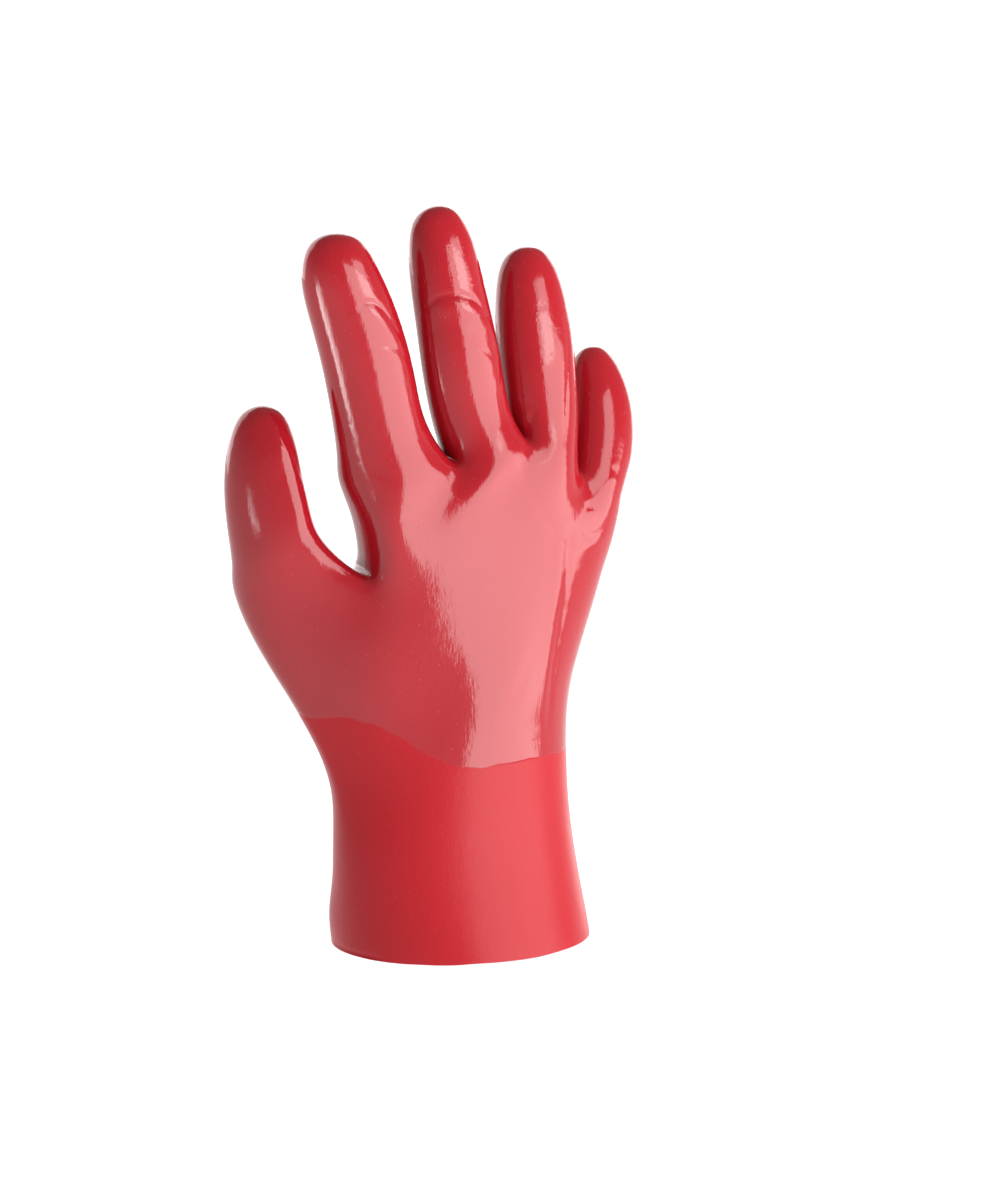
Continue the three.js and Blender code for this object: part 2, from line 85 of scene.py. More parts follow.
# Sections from the wrist to the web of the thumb, as shares of the width and depth there.
# up: share of the way; inner: where the palm parts from the thumb; drop: how far the thumb's side lies
# towards the palm; split: from one oval at 0 to two at 1
ThenarSection = namedtuple("ThenarSection", "up left right inner front back drop split")
THENAR_SECTIONS = (
    ThenarSection(0.0, -0.545, 0.45, -0.442, 0.5, 0.5, 0.0, 0.0),
    ThenarSection(0.24, -0.582, 0.422, -0.428, 0.51, 0.54, 0.09, 0.04),
    ThenarSection(0.5, -0.651, 0.424, -0.413, 0.52, 0.59, 0.2, 0.16),
    ThenarSection(0.77, -0.72, 0.473, -0.378, 0.54, 0.62, 0.33, 0.5),
    ThenarSection(1.0, -0.741, 0.495, -0.35, 0.56, 0.61, 0.395, 1.0),
)
PALM_DROP = 0.25 # share of the drop that the palm's own oval takes

# Powers that shape an oval's front on the thumb's side; 1 is the plain oval
PALM_FLATNESS = 0.25
WRIST_FLATNESS = 1.6

# Sections from that web to the knuckles, as shares of the palm's width and depth.
# valley: how much of the depth is drawn in between two fingers
PalmSection = namedtuple("PalmSection", "up left right front back valley")
PALM_SECTIONS = (
    PalmSection(0.36, -0.35, 0.528, 0.54, 0.56, 0.02),
    PalmSection(0.7, -0.376, 0.55, 0.53, 0.5, 0.14),
)

# The line of the knuckles, from the index finger's outer side to the little finger's.
# root: which finger's; within: share of its root's width; front, back: shares of the palm's depth; rise,
# lift: height of the front and the back point over the palm's end, as shares of its depth
RootColumn = namedtuple("RootColumn", "root within front back rise lift")
ROOTS_LEFT = -0.42 # share of the palm's width
ROOT_COLUMNS = (
    RootColumn(0, 0.0, 0.03, 0.03, -0.06, -0.06),
    RootColumn(0, 0.09, -0.28, 0.32, -0.02, 0.0),
    RootColumn(0, 0.47, -0.52, 0.45, 0.0, 0.0),
    RootColumn(0, 1.0, -0.34, 0.31, 0.0, 0.08),
    RootColumn(1, 0.5, -0.54, 0.46, 0.1, 0.08),
    RootColumn(1, 1.0, -0.34, 0.33, 0.2, 0.22),
    RootColumn(2, 0.57, -0.48, 0.47, -0.02, 0.0),
    RootColumn(2, 1.0, -0.22, 0.36, -0.22, -0.12),
    RootColumn(3, 0.43, -0.34, 0.48, -0.26, -0.24),
    RootColumn(3, 0.83, -0.16, 0.38, -0.3, -0.3),
    RootColumn(3, 1.0, 0.1, 0.1, -0.3, -0.3),
)
WEB_ROWS = (3, 5, 7) # the columns at the webs between two fingers

# Sections of a finger. along, side, back: the section's middle from the middle of the root, as shares of
# the finger's length, and the same three for the tip; broad, deep: shares of its breadth and depth
FingerSection = namedtuple("FingerSection", "along side back broad deep")
Digit = namedtuple("Digit", "name length breadth depth turn sections tip")
THUMB = Digit("thumb", THUMB_LENGTH, THUMB_BREADTH, THUMB_DEPTH, THUMB_TURN, (
    FingerSection(0.17, -0.1, 0.02, 1.04, 1.06),
    FingerSection(0.36, -0.125, 0.05, 1.02, 1.0),
    FingerSection(0.56, -0.14, 0.09, 0.93, 0.96),
    FingerSection(0.74, -0.13, 0.12, 0.82, 0.88),
    FingerSection(0.9, -0.115, 0.15, 0.54, 0.66),
), (0.975, -0.11, 0.16))
INDEX = Digit("index_finger", INDEX_LENGTH, INDEX_BREADTH, INDEX_BREADTH * FINGER_FLATNESS, 0, (
    FingerSection(0.13, -0.06, 0.0, 1.03, 1.06),
    FingerSection(0.31, -0.086, 0.02, 1.01, 1.0),
    FingerSection(0.5, -0.116, 0.045, 1.01, 0.98),
    FingerSection(0.68, -0.163, 0.075, 0.97, 0.94),
    FingerSection(0.83, -0.21, 0.1, 0.89, 0.86),
    FingerSection(0.95, -0.215, 0.12, 0.62, 0.62),
), (1.0, -0.21, 0.13))
MIDDLE = Digit("middle_finger", MIDDLE_LENGTH, MIDDLE_BREADTH, MIDDLE_BREADTH * FINGER_FLATNESS, 0, (
    FingerSection(0.12, -0.055, 0.0, 1.0, 1.06),
    FingerSection(0.28, -0.085, 0.015, 1.05, 1.02),
    FingerSection(0.46, -0.1, 0.045, 1.03, 1.0),
    FingerSection(0.64, -0.118, 0.09, 0.96, 0.95),
    FingerSection(0.82, -0.128, 0.135, 0.91, 0.9),
    FingerSection(0.95, -0.145, 0.165, 0.62, 0.62),
), (1.0, -0.15, 0.175))
RING = Digit("ring_finger", RING_LENGTH, RING_BREADTH, RING_BREADTH * FINGER_FLATNESS, 0, (
    FingerSection(0.19, 0.0, 0.01, 0.95, 1.02),
    FingerSection(0.36, -0.005, 0.05, 1.0, 1.0),
    FingerSection(0.54, 0.0, 0.105, 1.04, 0.98),
    FingerSection(0.7, 0.005, 0.16, 0.98, 0.93),
    FingerSection(0.85, 0.01, 0.21, 0.84, 0.84),
    FingerSection(0.95, 0.01, 0.25, 0.54, 0.56),
), (0.99, 0.01, 0.27))
LITTLE = Digit("little_finger", LITTLE_LENGTH, LITTLE_BREADTH, LITTLE_BREADTH * FINGER_FLATNESS, 0, (
    FingerSection(0.2, 0.1, 0.05, 1.02, 1.08),
    FingerSection(0.37, 0.15, 0.12, 1.02, 1.02),
    FingerSection(0.55, 0.18, 0.2, 0.98, 0.98),
    FingerSection(0.7, 0.185, 0.29, 0.9, 0.9),
    FingerSection(0.83, 0.19, 0.37, 0.74, 0.78),
    FingerSection(0.91, 0.2, 0.43, 0.44, 0.5),
), (0.93, 0.2, 0.47))
FINGERS = (INDEX, MIDDLE, RING, LITTLE)

# Columns of the cage: round the cuff, where the palm's begin after the thumb's, and round a finger
COLUMNS = 24
PALM_START = 3
PALM_END = COLUMNS - PALM_START
PALM_COLUMNS = PALM_END - PALM_START + 2
FINGER_COLUMNS = 8

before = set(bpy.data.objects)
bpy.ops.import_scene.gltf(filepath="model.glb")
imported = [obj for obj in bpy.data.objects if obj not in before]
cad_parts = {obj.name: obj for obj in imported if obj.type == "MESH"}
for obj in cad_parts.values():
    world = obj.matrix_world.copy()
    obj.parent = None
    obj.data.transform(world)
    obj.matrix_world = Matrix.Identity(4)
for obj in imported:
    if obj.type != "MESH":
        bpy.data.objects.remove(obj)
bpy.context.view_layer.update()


def mix(a, b, share):
    return a + (b - a) * share


def hull_factor(count):
    """A control loop lies outside the smooth skin by this factor, so that the skin has the stated size."""
    return 6 / (4 + 2 * math.cos(2 * math.pi / count))


def angle_at(column, columns):
    """The angle of a column, counted from the thumb's side round the front."""
    return math.radians(180 + 360 / columns * column)


def on_oval(angle, left, right, front, back, drop, flatness):
    """A place on an oval whose front is as flat as told on the thumb's side."""
    across = math.cos(angle)
    deep = math.sin(angle)
    thumbward = max(0.0, -across)
    bulge = -abs(deep) ** flatness if deep < 0 and across < 0 else deep
    x = (left + right) / 2 + across * (right - left) / 2
    y = bulge * (front if deep < 0 else back) + drop * thumbward ** 2
    return x, y


def on_turned_oval(angle, breadth, depth, turn):
    """A place on an oval round the middle, whose broad axis is turned by some degrees."""
    turn = math.radians(turn)
    broad = math.cos(angle - turn) * breadth / 2
    deep = math.sin(angle - turn) * depth / 2
    return broad * math.cos(turn) - deep * math.sin(turn), broad * math.sin(turn) + deep * math.cos(turn)


class Cage:
    """The coarse cage of quads that the skin is smoothed from; each quad belongs to a named piece."""

    def __init__(self):
        self.points = []
        self.quads = []
        self.pieces = []

    def add(self, x, y, z):
        self.points.append((x, y, z))
        return len(self.points) - 1

    def quad(self, corners, piece):
        self.quads.append(corners)
        self.pieces.append(piece)

    def band(self, lower, upper, piece):
        count = len(lower)
        for i in range(count):
            after = (i + 1) % count
            self.quad((lower[i], lower[after], upper[after], upper[i]), piece)

    def centre(self, loop):
        return np.mean([self.points[i] for i in loop], axis=0)


def cuff_loop(cage, section):
    hull = hull_factor(COLUMNS)
    half = mix(WRIST_WIDTH, CUFF_WIDTH, section.flare) / 2 * hull
    deep = mix(WRIST_DEPTH, CUFF_DEPTH, section.flare) / 2 * hull
    wrist = THENAR_SECTIONS[0]
    middle = (wrist.left + wrist.right) / 2 * WRIST_WIDTH * (1 - section.flare)
    loop = []
    for column in range(COLUMNS):
        x, y = on_oval(angle_at(column, COLUMNS), middle - half, middle + half, deep, deep, 0, 1)
        loop.append(cage.add(x, y, section.up * CUFF_LENGTH))
    return loop


def thenar_loop(cage, section):
    hull = hull_factor(COLUMNS)
    width = mix(WRIST_WIDTH, PALM_WIDTH, section.up) * hull
    depth = mix(WRIST_DEPTH, PALM_DEPTH, section.up) * hull
    left, right, inner = section.left * width, section.right * width, section.inner * width
    front, back, drop = section.front * depth, section.back * depth, section.drop * depth
    thumb_hull = hull_factor(FINGER_COLUMNS)
    height = CUFF_LENGTH + section.up * THUMB_CROTCH
    loop = []
    for column in range(COLUMNS):
        whole = on_oval(angle_at(column, COLUMNS), left, right, front, back, drop, WRIST_FLATNESS)
        if PALM_START <= column <= PALM_END:
            angle = angle_at(column - PALM_START + 1, PALM_COLUMNS)
            apart = on_oval(angle, inner, right, front, back, drop * PALM_DROP, PALM_FLATNESS)
        else:
            angle = angle_at(column if column < PALM_START else column - COLUMNS, FINGER_COLUMNS)
            x, y = on_turned_oval(angle, THUMB_BREADTH * thumb_hull, THUMB_DEPTH * thumb_hull, THUMB_TURN)
            apart = (x + left + THUMB_BREADTH / 2 * thumb_hull, y + drop)
        x = mix(whole[0], apart[0], section.split)
        y = mix(whole[1], apart[1], section.split)
        loop.append(cage.add(x, y, height))
    return loop


def palm_loop(cage, section):
    hull = hull_factor(PALM_COLUMNS)
    left, right = section.left * PALM_WIDTH * hull, section.right * PALM_WIDTH * hull
    front, back = section.front * PALM_DEPTH * hull, section.back * PALM_DEPTH * hull
    loop = []
    for step in range(PALM_COLUMNS):
        x, y = on_oval(angle_at(step, PALM_COLUMNS), left, right, front, back, 0, PALM_FLATNESS)
        column = step if step <= PALM_COLUMNS // 2 else PALM_COLUMNS - step
        drawn = 1 - section.valley if column in WEB_ROWS else 1
        root = ROOT_COLUMNS[column]
        share = root.rise if step == column else root.lift
        height = CUFF_LENGTH + mix(THUMB_CROTCH, PALM_LENGTH + share * PALM_DEPTH, section.up)
        loop.append(cage.add(x, y * drawn, height))
    return loop


def root_loop(cage):
    """The loop round all four finger roots, and the points inside it that the webs cross."""
    hull = hull_factor(PALM_COLUMNS)
    top = CUFF_LENGTH + PALM_LENGTH
    front = []
    back = []
    for i, row in enumerate(ROOT_COLUMNS):
        before = sum(ROOT_WIDTHS[:row.root])
        x = (ROOTS_LEFT * PALM_WIDTH + before + row.within * ROOT_WIDTHS[row.root]) * hull
        front.append(cage.add(x, row.front * PALM_DEPTH * hull, top + row.rise * PALM_DEPTH))
        if i in (0, len(ROOT_COLUMNS) - 1):
            back.append(front[i])
        else:
            back.append(cage.add(x, row.back * PALM_DEPTH * hull, top + row.lift * PALM_DEPTH))
    inside = [cage.add(*cage.centre((front[row], back[row]))) for row in WEB_ROWS]
    return front, back, inside


def grow_digit(cage, digit, root, root_piece):
    """Grows a finger from the loop of eight points at its root: left, front left, front, and so on."""
    start = Vector(cage.centre(root))
    hull = hull_factor(FINGER_COLUMNS)
    places = [start + digit.length * Vector((row.side, row.back, row.along)) for row in digit.sections]
    along, side, back = digit.tip
    tip = start + digit.length * Vector((side, back, along))
    stops = [start, *places, tip]
    below = root
    for i, row in enumerate(digit.sections):
        way = (stops[i + 2] - stops[i]).normalized()
        sideways = (Vector((1, 0, 0)) - way * way.x).normalized()
        palmwards = way.cross(sideways)
        loop = []
        for column in range(FINGER_COLUMNS):
            breadth = row.broad * digit.breadth * hull
            depth = row.deep * digit.depth * hull
            x, y = on_turned_oval(angle_at(column, FINGER_COLUMNS), breadth, depth, digit.turn)
            loop.append(cage.add(*(places[i] + sideways * x + palmwards * y)))
        cage.band(below, loop, root_piece if i == 0 else digit.name)
        below = loop
    crown = cage.add(*tip)
    for column in range(0, FINGER_COLUMNS, 2):
        last = (column + 2) % FINGER_COLUMNS
        cage.quad((below[column], below[column + 1], below[last], crown), digit.name)


def make_cage():
    """A tube from the rim that branches into the thumb and then into the fingers."""
    cage = Cage()
    cuff = [cuff_loop(cage, section) for section in CUFF_SECTIONS]
    thenar = [thenar_loop(cage, section) for section in THENAR_SECTIONS]
    lower = cuff + thenar
    for i in range(1, len(lower)):
        cage.band(lower[i - 1], lower[i], "cuff" if i <= len(cuff) else "wrist")
    crotch = thenar[-1]
    thumb_web = cage.add(*cage.centre((crotch[PALM_START], crotch[PALM_END])))
    thumb_root = [*crotch[:PALM_START + 1], thumb_web, *crotch[PALM_END:]]
    grow_digit(cage, THUMB, thumb_root, "wrist")
    front, back, inside = root_loop(cage)
    around_roots = [*front, *reversed(back[1:-1])]
    palm_bottom = [thumb_web, *crotch[PALM_START:PALM_END + 1]]
    palm = [palm_bottom, *(palm_loop(cage, section) for section in PALM_SECTIONS), around_roots]
    for i in range(1, len(palm)):
        cage.band(palm[i - 1], palm[i], "palm")
    for i, finger in enumerate(FINGERS):
        first = 2 * i + 1
        left = front[0] if i == 0 else inside[i - 1]
        right = front[-1] if i == len(FINGERS) - 1 else inside[i]
        root = [left, *front[first:first + 3], right, *reversed(back[first:first + 3])]
        grow_digit(cage, finger, root, "palm")
    return cage


def edges_of(quads):
    """Every edge once, as its two ends, and for each quad the numbers of its four edges."""
    ends = np.stack([quads, np.roll(quads, -1, axis=1)], axis=2).reshape(-1, 2)
    edges, numbers = np.unique(np.sort(ends, axis=1), axis=0, return_inverse=True)
    return edges, numbers.reshape(-1, 4)


def summed(values, numbers, count):
    return np.stack([np.bincount(numbers, values[:, k], count) for k in range(3)], axis=1)


def subdivide(points, quads):
    """One round of Catmull-Clark. Old points come first, then one for each edge, then one for each quad."""
    count = len(points)
    edges, edge_of = edges_of(quads)
    quad_points = points[quads].mean(axis=1)
    middles = points[edges].mean(axis=1)
    sides = np.bincount(edge_of.ravel(), minlength=len(edges))
    is_open = sides == 1
    quad_sum = summed(np.repeat(quad_points, 4, axis=0), edge_of.ravel(), len(edges))
    edge_points = np.where(is_open[:, None], middles, (2 * middles + quad_sum) / 4)
    valence = np.bincount(quads.ravel(), minlength=count)[:, None]
    around = summed(np.repeat(quad_points, 4, axis=0), quads.ravel(), count) / valence
    spokes = np.bincount(edges.ravel(), minlength=count)[:, None]
    across = summed(np.repeat(middles, 2, axis=0), edges.ravel(), count) / spokes
    moved = (around + 2 * across + (valence - 3) * points) / valence
    rim = edges[is_open]
    beside = summed(points[rim[:, ::-1]].reshape(-1, 3), rim.ravel(), count)
    on_rim = np.unique(rim)
    moved[on_rim] = (6 * points[on_rim] + beside[on_rim]) / 8
    numbers = count + len(edges) + np.arange(len(quads))
    new = []
    for k in range(4):
        corners = [quads[:, k], count + edge_of[:, k], numbers, count + edge_of[:, k - 1]]
        new.append(np.stack(corners, axis=1))
    new_quads = np.stack(new, axis=1).reshape(-1, 4)
    return np.concatenate([moved, edge_points, quad_points]), new_quads


def normals_of(points, quads):
    a, b, c, d = (points[quads[:, k]] for k in range(4))
    normals = np.cross(c - a, d - b)
    total = summed(np.repeat(normals, 4, axis=0), quads.ravel(), len(points))
    return total / np.linalg.norm(total, axis=1)[:, None]


def camera_back():
    """The unit vector from the object towards the camera."""
    level = math.cos(CAMERA_ELEVATION)
    return Vector((
        math.sin(CAMERA_AZIMUTH) * level,
        -math.cos(CAMERA_AZIMUTH) * level,
        math.sin(CAMERA_ELEVATION),
    ))


def camera_place():
    return CAMERA_TARGET + CAMERA_DISTANCE * camera_back()


def photo_ray(pixel_x, pixel_y):
    """The direction in which the camera sees a pixel of the photograph."""
    turn = (-camera_back()).to_track_quat("-Z", "Y")
    reach = PIXELS_PER_METRE * CAMERA_DISTANCE
    across = (pixel_x - PHOTO_WIDTH / 2) / reach
    up = (PHOTO_HEIGHT / 2 - pixel_y) / reach
    return (turn @ Vector((across, up, -1))).normalized()


def spline(stops, steps):
    """Points on a smooth curve through the stops, with this many steps between two stops."""
    ends = [2 * stops[0] - stops[1], *stops, 2 * stops[-1] - stops[-2]]
    out = []
    for i in range(1, len(ends) - 2):
        a, b, c, d = ends[i - 1:i + 3]
        for k in range(steps):
            t = k / steps
            out.append(0.5 * (2 * b + (c - a) * t + (2 * a - 5 * b + 4 * c - d) * t ** 2
                              + (3 * b - a - 3 * c + d) * t ** 3))
    out.append(ends[-2])
    return out


# Folds of the back of the glove, drawn along pixels of the photograph.
# depth: of the groove; width: half width of the groove; lip: height of the roll on the right of the path,
# as it is drawn; roll: half width of that roll. All in millimetres. The outer faces are broad, shallow
# grooves without a roll.
Fold = namedtuple("Fold", "path depth width lip roll")
BACK_FOLDS = {
    "index_joint": Fold(((359, 308), (366, 303), (375, 304), (386, 314), (397, 331), (407, 347)),
                        0.32, 0.9, 0.2, 2.4),
    "index_joint_below": Fold(((366, 349), (379, 345), (392, 347), (402, 353), (410, 362)),
                              0.14, 0.9, 0.1, 2.0),
    "index_outer_face": Fold(((324, 282), (333, 316), (342, 350), (352, 385), (361, 416), (368, 442)),
                             0.32, 3.8, 0.0, 2.0),
    "index_base": Fold(((366, 446), (371, 462), (379, 474), (388, 480)), 0.2, 1.6, 0.15, 2.2),
    "middle_joint": Fold(((429, 305), (436, 299), (446, 296), (458, 295), (469, 298), (478, 304),
                          (486, 315)), 0.5, 0.9, 0.35, 3.0),
    "middle_right_edge": Fold(((485, 311), (492, 326), (498, 346), (501, 372), (500, 400), (503, 428)),
                              0.22, 0.8, 0.12, 1.6),
    "middle_joint_below": Fold(((474, 348), (484, 350), (492, 357)), 0.16, 0.8, 0.1, 1.6),
    "middle_outer_face": Fold(((433, 300), (436, 325), (442, 352), (451, 382), (456, 408), (456, 430)),
                              0.3, 3.4, 0.0, 2.0),
    "ring_right_edge": Fold(((566, 322), (568, 352), (567, 384), (566, 414), (564, 440)),
                            0.25, 0.8, 0.12, 1.6),
    "ring_base": Fold(((522, 396), (533, 411), (528, 428), (531, 446)), 0.2, 1.2, 0.2, 1.8),
    "little_joint": Fold(((602, 475), (609, 470), (616, 473), (622, 479)), 0.3, 0.8, 0.2, 1.6),
    "little_base_upper": Fold(((579, 518), (586, 509), (595, 506), (603, 511)), 0.3, 1.0, 0.2, 2.0),
    "little_base_lower": Fold(((577, 524), (585, 534), (594, 536), (603, 528)), 0.3, 1.0, 0.2, 2.0),
    "index_middle_web": Fold(((421, 424), (428, 446), (438, 461), (447, 472), (454, 486), (462, 501)),
                             0.18, 1.2, 0.1, 2.2),
    "middle_ring_web": Fold(((527, 450), (523, 466), (526, 483), (537, 504), (547, 521), (558, 534),
                             (577, 541), (592, 538)), 0.42, 1.2, 0.2, 2.4),
    "outer_valley": Fold(((571, 530), (568, 552), (566, 585), (560, 624), (554, 664), (550, 700),
                          (548, 728)), 0.55, 1.3, 0.3, 2.6),
    "outer_valley_tail": Fold(((536, 640), (528, 668), (517, 692), (508, 716)), 0.15, 1.8, 0.1, 3.0),
    "thumb_web": Fold(((352, 571), (341, 574), (329, 571), (318, 560)), 0.3, 1.2, 0.2, 2.0),
    "thumb_facet": Fold(((277, 420), (284, 436), (293, 452), (301, 476)), 0.25, 1.4, 0.15, 2.0),
    "thumb_root": Fold(((262, 596), (280, 606), (300, 610), (322, 606)), 0.12, 2.6, 0.1, 3.5),
    "cuff_corner": Fold(((336, 944), (346, 950), (358, 954), (371, 957), (384, 960)), 0.45, 0.8, 0.25, 1.6),
    "cuff_front": Fold(((399, 872), (430, 884), (470, 889), (510, 884)), 0.1, 3.5, 0.1, 5.0),
}

# Folds of the palm side, in millimetres of X and Z
PALM_FOLDS = {
    "thumb_crease": Fold(((-24, 149), (-12, 144), (0, 134), (6, 120), (6, 104), (1, 90)),
                         0.7, 1.6, 0.4, 3.5),
    "middle_crease": Fold(((-22, 151), (-5, 148), (14, 142), (30, 133), (42, 122)), 0.55, 1.5, 0.35, 3.0),
    "upper_crease": Fold(((58, 148), (46, 154), (31, 157), (15, 160), (4, 166)), 0.55, 1.4, 0.35, 3.0),
    "heel_crease": Fold(((20, 120), (24, 106), (22, 92), (14, 80)), 0.4, 1.6, 0.25, 3.5),
    "wrist_upper": Fold(((-30, 82), (-12, 78), (8, 77), (26, 80), (36, 84)), 0.5, 1.5, 0.4, 3.5),
    "wrist_lower": Fold(((-26, 71), (-8, 68), (12, 68), (30, 71)), 0.4, 1.5, 0.3, 3.5),
    "thumb_base": Fold(((-60, 128), (-52, 124), (-44, 124), (-37, 128)), 0.5, 1.3, 0.35, 2.6),
    "thumb_base_lower": Fold(((-56, 112), (-47, 110), (-38, 112), (-30, 118)), 0.35, 1.4, 0.3, 3.0),
    "thumb_joint": Fold(((-72, 163), (-66, 161), (-60, 163)), 0.45, 1.1, 0.3, 2.2),
    "index_root": Fold(((-36, 176), (-27, 174), (-17, 174), (-8, 177)), 0.55, 1.2, 0.35, 2.4),
    "index_middle_joint": Fold(((-40, 204), (-31, 202), (-22, 203)), 0.5, 1.1, 0.3, 2.2),
    "index_end_joint": Fold(((-45, 229), (-37, 227), (-29, 229)), 0.4, 1.0, 0.25, 2.0),
    "middle_root": Fold(((1, 180), (11, 178), (22, 180)), 0.55, 1.2, 0.35, 2.4),
    "middle_middle_joint": Fold(((-2, 206), (7, 204), (16, 206)), 0.5, 1.1, 0.3, 2.2),
    "middle_end_joint": Fold(((-4, 234), (4, 232), (12, 234)), 0.4, 1.0, 0.25, 2.0),
    "ring_root": Fold(((28, 180), (37, 178), (46, 180)), 0.55, 1.2, 0.35, 2.4),
    "ring_middle_joint": Fold(((30, 203), (38, 201), (47, 203)), 0.5, 1.1, 0.3, 2.2),
    "ring_end_joint": Fold(((31, 225), (38, 223), (46, 225)), 0.4, 1.0, 0.25, 2.0),
    "little_root": Fold(((54, 170), (61, 168), (69, 170)), 0.5, 1.1, 0.3, 2.2),
    "little_joint": Fold(((59, 187), (66, 185), (73, 187)), 0.4, 1.0, 0.25, 2.0),
}
PALM_RAY_START = 0.2 # metres behind the glove's middle
PATH_STEPS = 8 # between two stops of a fold's path
FOLD_REACH = 3 # how far a fold is felt, in half widths
FOLD_ENDS = 0.04 # share of the path that keeps a little depth at each end
FOLD_FADE = 0.5
ROLL_DISTANCE = 1.4 # from the path to the top of the roll, in the roll's half widths


def on_back(tree, pixel_x, pixel_y):
    """Where the camera meets the back of the glove at a pixel of the photograph."""
    return tree.ray_cast(camera_place(), photo_ray(pixel_x, pixel_y))[0]


def on_palm(tree, x, z):
    """Where the palm side lies at an X and Z in millimetres."""
    return tree.ray_cast(Vector((x * MM, PALM_RAY_START, z * MM)), Vector((0, -1, 0)))[0]


def photo_pixels(points):
    """Where points show in the photograph, as two rows of pixels across and down."""
    to_camera = np.array(camera_back())
    turn = (-camera_back()).to_track_quat("-Z", "Y")
    across = np.array(turn @ Vector((1, 0, 0)))
    up = np.array(turn @ Vector((0, 1, 0)))
    away = points - np.array(camera_place())
    reach = PIXELS_PER_METRE * CAMERA_DISTANCE / -(away @ to_camera)
    return PHOTO_WIDTH / 2 + away @ across * reach, PHOTO_HEIGHT / 2 - away @ up * reach


# A broad swell and a hollow of the back of the hand, which turn the wrist a little towards the thumb, and a
# roll along the thumb's inner edge.
# middle: pixel of the photograph; wide, tall: half widths in pixels; height: millimetres towards the camera
Swell = namedtuple("Swell", "middle wide tall height")
SWELLS = {
    "thumb_side_of_wrist": Swell((426, 702), 42, 60, -2.3),
    "middle_of_wrist": Swell((517, 692), 42, 60, 2.7),
    "thumb_edge_top": Swell((284, 446), 14, 24, 1.0),
    "thumb_edge_upper": Swell((298, 482), 14, 24, 1.0),
    "thumb_edge_lower": Swell((307, 516), 14, 24, 1.1),
    "thumb_edge_root": Swell((320, 548), 16, 20, 1.0),
}
FULLY_FACING = 0.35 # cosine from which the skin counts as facing the camera


def swell_skin(points, normals):
    """Moves what faces the camera towards it, so that the outline in the photograph stays as it is."""
    across, down = photo_pixels(points)
    facing = np.clip(normals @ np.array(camera_back()) / FULLY_FACING, 0, 1)
    facing = facing * facing * (3 - 2 * facing)
    height = np.zeros(len(points))
    for swell in SWELLS.values():
        aside = (across - swell.middle[0]) / swell.wide
        below = (down - swell.middle[1]) / swell.tall
        height += swell.height * np.exp(-aside * aside - below * below)
    return points + (height * facing * MM)[:, None] * np.array(camera_back())


# The skin is not quite even: soft waves all over it, a bulge low on the cuff, and an uneven rim.
# Waves: length and height of each, in millimetres
WAVES = ((26, 0.16), (12, 0.06))
CUFF_BULGE = Vector((-44.5 * MM, 14.5 * MM, 11 * MM))
CUFF_BULGE_REACH = 11 * MM
CUFF_BULGE_HEIGHT = 1.5 * MM
RIM_WAVE = 15 * MM
RIM_RISE = 0.5 * MM
RIM_SHIFT = 0.2 # raises more than half of the rim
RIM_REACH = 4 * MM


def wave_skin(points, normals):
    """Moves the points a little along their normals, and raises parts of the rim."""
    moves = np.zeros(len(points))
    rise = np.zeros(len(points))
    for i, point in enumerate(points):
        place = Vector(point)
        for length, height in WAVES:
            moves[i] += height * MM * noise.noise(place / (length * MM))
        if point[2] < RIM_REACH:
            share = 1 - point[2] / RIM_REACH
            along = Vector((point[0], point[1], 0)) / RIM_WAVE
            rise[i] = RIM_RISE * share * max(0, noise.noise(along) + RIM_SHIFT)
    away = np.linalg.norm(points - np.array(CUFF_BULGE), axis=1) / CUFF_BULGE_REACH
    moves += CUFF_BULGE_HEIGHT * np.exp(-away * away)
    moved = points + moves[:, None] * normals
    moved[:, 2] = np.maximum(moved[:, 2], 0) + rise
    return moved


def press_fold(points, normals, path, fold):
    """Yields the points near a path on the skin, with how far each moves along its normal."""
    tree = KDTree(len(path))
    for i, place in enumerate(path):
        tree.insert(place, i)
    tree.balance()
    reach = FOLD_REACH * max(fold.width, fold.roll) * MM
    line = np.array(path)
    low, high = line.min(axis=0) - reach, line.max(axis=0) + reach
    near = np.nonzero(np.all((points > low) & (points < high), axis=1))[0]
    for i in near:
        number, distance = tree.find(points[i])[1:]
        if distance > reach:
            continue
        before, after = line[max(number - 1, 0)], line[min(number + 1, len(line) - 1)]
        side = np.dot(np.cross(after - before, points[i] - line[number]), normals[i])
        share = number / (len(line) - 1)
        fade = math.sin(math.pi * min(max(share, FOLD_ENDS), 1 - FOLD_ENDS)) ** FOLD_FADE
        away = distance / MM
        height = -fold.depth * math.exp(-(away / fold.width) ** 2)
        if side < 0:
            height += fold.lip * math.exp(-((away - ROLL_DISTANCE * fold.roll) / fold.roll) ** 2)
        yield i, height * fade * MM


def fold_skin(points, quads):
    """Presses all folds into the skin."""
    points = swell_skin(points, normals_of(points, quads))
    points = wave_skin(points, normals_of(points, quads))
    normals = normals_of(points, quads)
    tree = BVHTree.FromPolygons([Vector(p) for p in points], quads.tolist())
    moves = np.zeros(len(points))
    for folds, on_side in ((BACK_FOLDS, on_back), (PALM_FOLDS, on_palm)):
        for fold in folds.values():
            stops = spline([np.array(stop, float) for stop in fold.path], PATH_STEPS)
            path = [on_side(tree, *stop) for stop in stops]
            path = [place for place in path if place is not None]
            for i, height in press_fold(points, normals, path, fold):
                moves[i] += height
    return points + moves[:, None] * normals


SKIN_LEVELS = 4 # rounds of smoothing of the outer skin
INNER_LEVEL = 2 # the same for the surfaces inside it
FINE_PIECES = {digit.name for digit in (THUMB, *FINGERS)}


